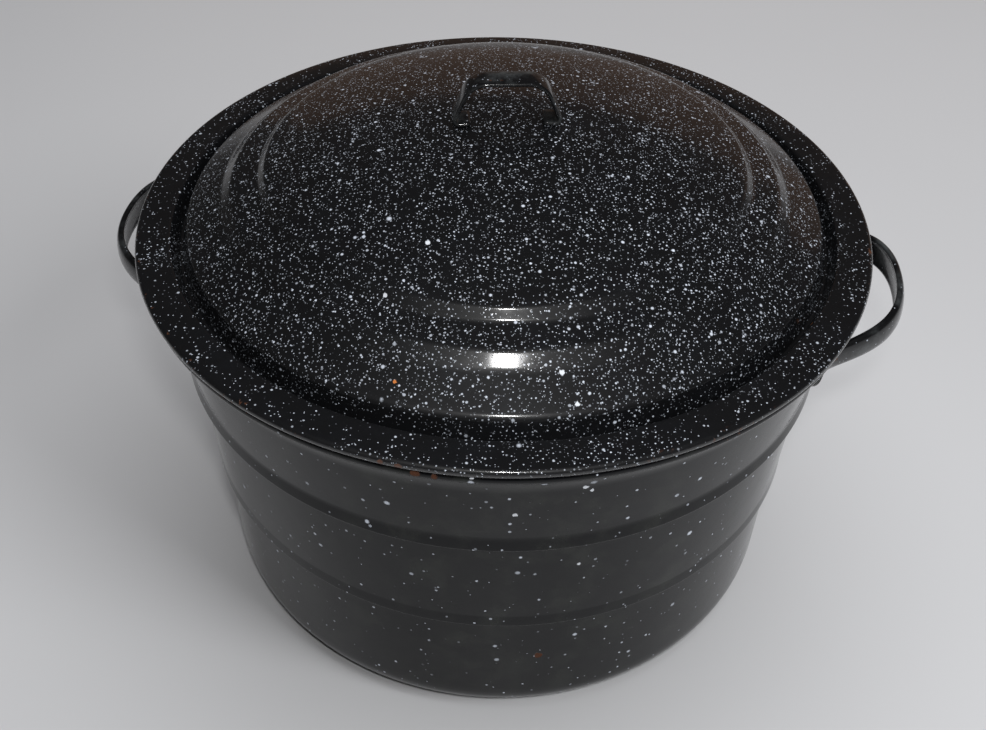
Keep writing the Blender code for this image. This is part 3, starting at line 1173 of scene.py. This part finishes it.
@dataclass
class JarRack:
    """The wire rack: rings, dividers, posts, eyes and two swinging handles."""

    pot_sheet: float = 0.0012
    gap: float = 0.0003
    heavy: float = 0.0025
    wire: float = 0.0020
    light: float = 0.0015
    handle_wire: float = 0.00225
    upper_radius: float = 0.1560
    upper_height: float = 0.0970
    centre_radius: float = 0.0525
    base_radii: Mapping[str, float] = field(
        default_factory=lambda: {"inner": 0.0300, "middle": 0.0800, "outer": 0.1340}
    )
    inner_end: float = 0.0180
    foot_radius: float = 0.1420
    divider_bend: float = 0.0100
    eye_angle: float = 28.0
    eye_clearance: float = 0.0005
    divider_overrun: float = 0.0015
    post_overrun: float = 0.0005
    divider_tip: float = 0.0014
    post_tip: float = 0.0008
    handle_tip: float = 0.0012
    pin: float = 0.0050
    arm: float = 0.1040
    handle_bend: float = 0.0140
    finish: bpy.types.Material | None = None

    @property
    def floor_run(self) -> float:
        """Height of the middle of the wires on the pot's floor."""
        return self.pot_sheet + self.gap + self.wire

    @property
    def base_ring(self) -> float:
        """Height of the middle of the base rings."""
        return self.floor_run + 2.0 * self.wire + self.gap

    @property
    def eye_radius(self) -> float:
        """Radius of an eye, to the middle of its wire."""
        return self.handle_wire + self.eye_clearance + self.light

    @property
    def pivot(self) -> float:
        """Height of the axes that the handles turn on."""
        return self.upper_height + self.heavy + self.gap + self.eye_radius + self.light

    @property
    def centre_ring(self) -> float:
        """Height of the centre ring, which the folded handles rest on."""
        return self.pivot - self.handle_wire - self.gap - self.light

    def fit(self, made: bpy.types.Object, body: str, *nodes: str) -> None:
        """Ride a piece on a body, in place of the frame's nodes.

        Args:
            made: the piece.
            body: the body that it moves with.
            nodes: the frame's nodes that it stands in for.
        """
        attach(made, body)
        if nodes:
            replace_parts(made, *nodes)

    def rings(self) -> None:
        """Build the upper ring, the centre ring and the three base rings."""
        up = Vector((0.0, 0.0, 1.0))
        plan = [
            ("upper_ring", self.upper_radius, self.upper_height, self.heavy),
            ("centre_ring", self.centre_radius, self.centre_ring, self.light),
        ]
        for place, radius in self.base_radii.items():
            plan.append(("base_ring_" + place, radius, self.base_ring, self.wire))
        for name, radius, height, wire in plan:
            sweep = Sweep(round_section(wire)).run(circle(radius, height, 144), up, closed=True)
            self.fit(sweep.made("wire_" + name, self.finish), "rack", "rack_" + name)

    def dividers(self) -> None:
        """Build the six floor-and-side wires and the six posts."""
        side = self.upper_radius - self.heavy - self.gap - self.wire
        post_radius = self.centre_radius + 2.0 * self.light + self.gap
        foot = self.floor_run + self.wire + self.gap
        for cell in range(JAR_CELLS):
            angle = 360.0 * cell / JAR_CELLS
            across = polar(1.0, angle + 90.0)
            corners = [
                polar(self.inner_end, angle, self.floor_run),
                polar(self.foot_radius, angle, self.floor_run),
                polar(side, angle, self.upper_height + self.divider_overrun),
            ]
            path = with_ends(rounded(corners, (self.divider_bend,), 10), self.divider_tip)
            sweep = Sweep(round_section(self.wire))
            sweep.run(path, across, taper=domed_end(self.divider_tip))
            made = sweep.made("wire_divider_%d" % (cell + 1), self.finish)
            self.fit(made, "rack", "rack_divider_%d" % (cell + 1))
            top = self.centre_ring + self.post_overrun
            post = [polar(post_radius, angle, foot), polar(post_radius, angle, top)]
            path = with_ends(post, self.post_tip)
            sweep = Sweep(round_section(self.light))
            sweep.run(path, across, taper=domed_end(self.post_tip))
            made = sweep.made("wire_post_%d" % (cell + 1), self.finish)
            self.fit(made, "rack", "rack_post_%d" % (cell + 1))

    def welds(self) -> None:
        """Build the weld beads where wires cross."""
        side = self.upper_radius - self.heavy - self.gap / 2.0
        post_radius = self.centre_radius + self.light + self.gap / 2.0
        places = []
        for cell in range(JAR_CELLS):
            angle = 360.0 * cell / JAR_CELLS
            crossing = self.floor_run + self.wire + self.gap / 2.0
            for radius in self.base_radii.values():
                places.append((polar(radius, angle, crossing), Vector((0.0016, 0.0016, 0.0009))))
            places.append((polar(side, angle, self.upper_height), Vector((0.0012, 0.0012, 0.0018))))
            places.append((polar(post_radius, angle, self.centre_ring), Vector((0.0009, 0.0009, 0.0011))))
            foot = self.floor_run + self.wire + self.gap / 2.0
            places.append((polar(post_radius + self.light, angle, foot), Vector((0.0014, 0.0014, 0.0007))))
        eye = polar(self.upper_radius, self.eye_angle)
        for x in (-eye.x, eye.x):
            for y in (-eye.y, eye.y):
                centre = Vector((x, y, self.upper_height + self.heavy + self.gap / 2.0))
                places.append((centre, Vector((0.0016, 0.0012, 0.0008))))
        self.fit(beads(places, self.finish, "wire_welds"), "rack")

    def handle(self, side: str, facing: float) -> None:
        """Build one swinging handle, folded in flat, and the two eyes that its pins turn in.

        Args:
            side: right or left.
            facing: 1 for the right handle and -1 for the left.
        """
        eye = polar(self.upper_radius, self.eye_angle)
        height = self.pivot
        pin_end = eye.y + self.light + self.pin
        arm_side = eye.y - self.light - self.gap - 2.0 * self.handle_wire
        grip = eye.x - self.arm
        corners = [
            Vector((eye.x, pin_end, height)),
            Vector((eye.x, arm_side, height)),
            Vector((grip, arm_side, height)),
            Vector((grip, -arm_side, height)),
            Vector((eye.x, -arm_side, height)),
            Vector((eye.x, -pin_end, height)),
        ]
        small = self.handle_wire + 0.0005
        path = rounded(corners, (small, self.handle_bend, self.handle_bend, small), 10)
        path = with_ends(path, self.handle_tip)
        path = [Vector((facing * p.x, facing * p.y, p.z)) for p in path]
        name = "rack_handle_" + side
        sweep = Sweep(round_section(self.handle_wire))
        sweep.run(path, Vector((0.0, 0.0, 1.0)), taper=domed_end(self.handle_tip))
        self.fit(sweep.made("wire_handle_" + side, self.finish), name, name)
        for end, sign in (("front", -1.0), ("back", 1.0)):
            centre = Vector((facing * eye.x, sign * eye.y, height))
            loop = []
            for k in range(32):
                turn = FULL_TURN * k / 32
                loop.append(centre + Vector((math.cos(turn), 0.0, math.sin(turn))) * self.eye_radius)
            sweep = Sweep(round_section(self.light, 12)).run(loop, Vector((0.0, 1.0, 0.0)), closed=True)
            made = sweep.made("wire_eye_%s_%s" % (side, end), self.finish)
            self.fit(made, "rack", "rack_eye_%s_%s" % (side, end))

    def build(self) -> None:
        """Build every wire of the rack."""
        self.rings()
        self.dividers()
        self.handle("right", 1.0)
        self.handle("left", -1.0)
        self.welds()


# ---------------------------------------------------------------- the studio


@dataclass(frozen=True)
class SoftLight:
    """One area light."""

    name: str
    place: Tint
    target: Tint
    size: tuple[float, float]
    power: float
    tint: Tint = (1.0, 1.0, 1.0)
    mirrored: bool = False

    def build(self) -> None:
        """Make the light and point it at its target."""
        lamp = bpy.data.lights.new(self.name, "AREA")
        lamp.shape = "RECTANGLE"
        lamp.size, lamp.size_y = self.size
        lamp.energy = self.power
        lamp.color = self.tint
        made = bpy.data.objects.new(self.name, lamp)
        made.location = self.place
        aim = Vector(self.target) - Vector(self.place)
        made.rotation_euler = aim.to_track_quat("-Z", "Y").to_euler()
        made.visible_glossy = self.mirrored
        made.visible_camera = False
        bpy.context.scene.collection.objects.link(made)


@dataclass
class Studio:
    """The pale floor, the lights and the camera."""

    azimuth: float = 6.2
    distance: float = 0.5036
    height: float = 0.5731
    yaw: float = -0.50
    pitch: float = 42.66
    roll: float = 1.07
    lens: float = 42.0
    floor_half: float = 6.0
    room_glow: Tint = (0.034, 0.032, 0.031)
    backdrop: Tint = (0.60, 0.60, 0.60)

    def camera(self) -> None:
        """Place the camera."""
        yaw, pitch, roll = (math.radians(a) for a in (self.yaw, self.pitch, self.roll))
        ahead = Vector((math.sin(yaw) * math.cos(pitch), math.cos(yaw) * math.cos(pitch), -math.sin(pitch)))
        right = Vector((math.cos(yaw), -math.sin(yaw), 0.0))
        up = right.cross(ahead)
        tilted_right = math.cos(roll) * right + math.sin(roll) * up
        tilted_up = math.cos(roll) * up - math.sin(roll) * right
        basis = Matrix((tilted_right, tilted_up, -ahead)).transposed().to_4x4()
        basis.translation = Vector((0.0, -self.distance, self.height))
        data = bpy.data.cameras.new("camera")
        data.lens = self.lens
        data.sensor_width = 36.0
        data.clip_start = 0.01
        made = bpy.data.objects.new("camera", data)
        made.matrix_world = Matrix.Rotation(math.radians(self.azimuth), 4, "Z") @ basis
        bpy.context.scene.collection.objects.link(made)
        bpy.context.scene.camera = made

    def floor(self) -> None:
        """Lay the floor just under the pot's base."""
        half, low = self.floor_half, -0.0002
        corners = [(-half, -half, low), (half, -half, low), (half, half, low), (-half, half, low)]
        piece("floor", corners, [(0, 1, 2, 3)], PaleTop().material())

    def sky(self) -> None:
        """Give the world a dim glow for reflections and a pale backdrop."""
        world = bpy.data.worlds.new("studio")
        bpy.context.scene.world = world
        world.use_nodes = True
        nodes, links = world.node_tree.nodes, world.node_tree.links
        nodes.clear()
        out = nodes.new("ShaderNodeOutputWorld")
        mix = nodes.new("ShaderNodeMixShader")
        rays = nodes.new("ShaderNodeLightPath")
        glow = nodes.new("ShaderNodeBackground")
        glow.inputs[0].default_value = (*self.room_glow, 1.0)
        backdrop = nodes.new("ShaderNodeBackground")
        backdrop.inputs[0].default_value = (*self.backdrop, 1.0)
        links.new(rays.outputs["Is Camera Ray"], mix.inputs[0])
        links.new(glow.outputs[0], mix.inputs[1])
        links.new(backdrop.outputs[0], mix.inputs[2])
        links.new(mix.outputs[0], out.inputs[0])

    def lights(self) -> None:
        """Hang the soft lights."""
        turn = Matrix.Rotation(math.radians(self.azimuth), 3, "Z")
        eye = turn @ Vector((0.0, -self.distance, self.height))
        by_the_eye = tuple(eye + Vector((0.02, 0.0, 0.09)))
        middle = (0.0, 0.0, 0.1)
        wood = (1.0, 0.55, 0.32)
        lamps = (
            SoftLight("front_lamp", by_the_eye, (0.0, 0.0, 0.12), (0.050, 0.032), 1.5, mirrored=True),
            SoftLight("cabinet_glow", (0.2, 1.9, 0.55), (0.0, 0.0, 0.2), (3.0, 0.9), 0.8, wood, True),
            SoftLight("overhead", (0.2, 0.6, 2.6), middle, (3.0, 3.0), 54.0, (0.97, 0.98, 1.0)),
            SoftLight("key", (1.7, -0.9, 1.8), middle, (0.9, 0.9), 28.0, (0.98, 0.99, 1.0)),
        )
        for lamp in lamps:
            lamp.build()

    def build(self) -> None:
        """Build the floor, lights and camera."""
        self.floor()
        self.sky()
        self.lights()
        self.camera()
        bpy.context.scene.view_settings.view_transform = "Standard"


LID_SPECKS = (
    Specks(0.0013, 0.00022, 0.00052, 0.95, 2.0, 0.10),
    Specks(0.0021, 0.00032, 0.00074, 0.85, 2.5, 0.20),
    Specks(0.0039, 0.00048, 0.00112, 0.70, 3.0, 0.40),
    Specks(0.0120, 0.00080, 0.00190, 0.60, 3.0, 0.70),
)
WALL_SPECKS = (
    Specks(0.0050, 0.00040, 0.00110, 0.80, 2.0, 0.18),
    Specks(0.0100, 0.00070, 0.00190, 0.70, 2.5, 0.50),
)
STRAP_SPECKS = (
    Specks(0.0024, 0.00025, 0.00060, 0.60, 2.0, 0.20),
    Specks(0.0050, 0.00045, 0.00100, 0.60, 3.0, 0.45),
)
LID_SPOTS = (
    Spot((-0.0285, -0.1522, 0.2344), 0.00085, Mark.ORANGE),
    Spot((0.1564, -0.0670, 0.2176), 0.00120, Mark.ORANGE),
    Spot((-0.0284, -0.1878, 0.2222), 0.00160, Mark.RUST),
    Spot((-0.0208, -0.1888, 0.2215), 0.00210, Mark.RUST),
    # Painted highlight: this pale spot on the lid's lower shoulder is a lamp's glint painted into the colour,
    # not a chip.
    Spot((0.0031, -0.1617, 0.2295), 0.00060, Mark.CHIP_AND_GLINT),
    Spot((0.0418, -0.1410, 0.2393), 0.00150, Mark.CHIP_AND_GLINT),
    Spot((0.0499, -0.1514, 0.2314), 0.00130, Mark.CHIP_AND_GLINT),
    Spot((-0.0242, -0.0906, 0.2631), 0.00140, Mark.CHIP_AND_GLINT),
    Spot((-0.0390, -0.1172, 0.2527), 0.00120, Mark.CHIP_AND_GLINT),
)
WALL_SPOTS = (
    Spot((0.0097, -0.1873, 0.2187), 0.00130, Mark.CHIP_AND_GLINT),
    Spot((-0.0141, -0.1878, 0.2178), 0.00240, Mark.RUST),
    Spot((-0.0060, -0.1880, 0.2172), 0.00150, Mark.RUST),
    Spot((0.0567, -0.1688, 0.1992), 0.00150, Mark.CHIP_AND_GLINT),
    Spot((0.0595, -0.1675, 0.1962), 0.00110, Mark.CHIP_AND_GLINT),
    Spot((0.0270, -0.1740, 0.1817), 0.00130, Mark.CHIP_AND_GLINT),
    Spot((0.0572, -0.1606, 0.1350), 0.00110, Mark.CHIP_AND_GLINT),
    Spot((0.0409, -0.1600, 0.0543), 0.00260, Mark.RUST),
)
STRAP_SPOTS = (
    Spot((0.2075, -0.0330, 0.1960), 0.00230, Mark.RUST),
    Spot((0.1755, -0.0560, 0.1860), 0.00260, Mark.RUST),
    Spot((-0.2080, 0.0200, 0.1930), 0.00170, Mark.RUST),
)


def main() -> None:
    """Build the canner and the studio round it."""
    logging.basicConfig(level=logging.INFO, format="%(message)s")
    lid_enamel = SpeckledEnamel(
        "lid_enamel", Region.LID, LID_SPECKS, LID_SPOTS, film=(0.0045, 0.0050, 0.0062), bloom=0.8
    )
    wall_enamel = SpeckledEnamel("wall_enamel", Region.WALL, WALL_SPECKS, WALL_SPOTS, gloss_index=1.33)
    strap_enamel = SpeckledEnamel(
        "strap_enamel", Region.HANDLE, STRAP_SPECKS, STRAP_SPOTS, film=(0.055, 0.060, 0.062), bloom=0.5
    )
    worn_strap = strap_enamel.material()
    plated = PlatedWire().material()
    Pot(finish=wall_enamel.material(), handle_finish=worn_strap).build()
    Lid(finish=lid_enamel.material(), handle_finish=worn_strap).build()
    JarRack(finish=plated).build()
    Studio().build()


if __name__ == "__main__":
    main()
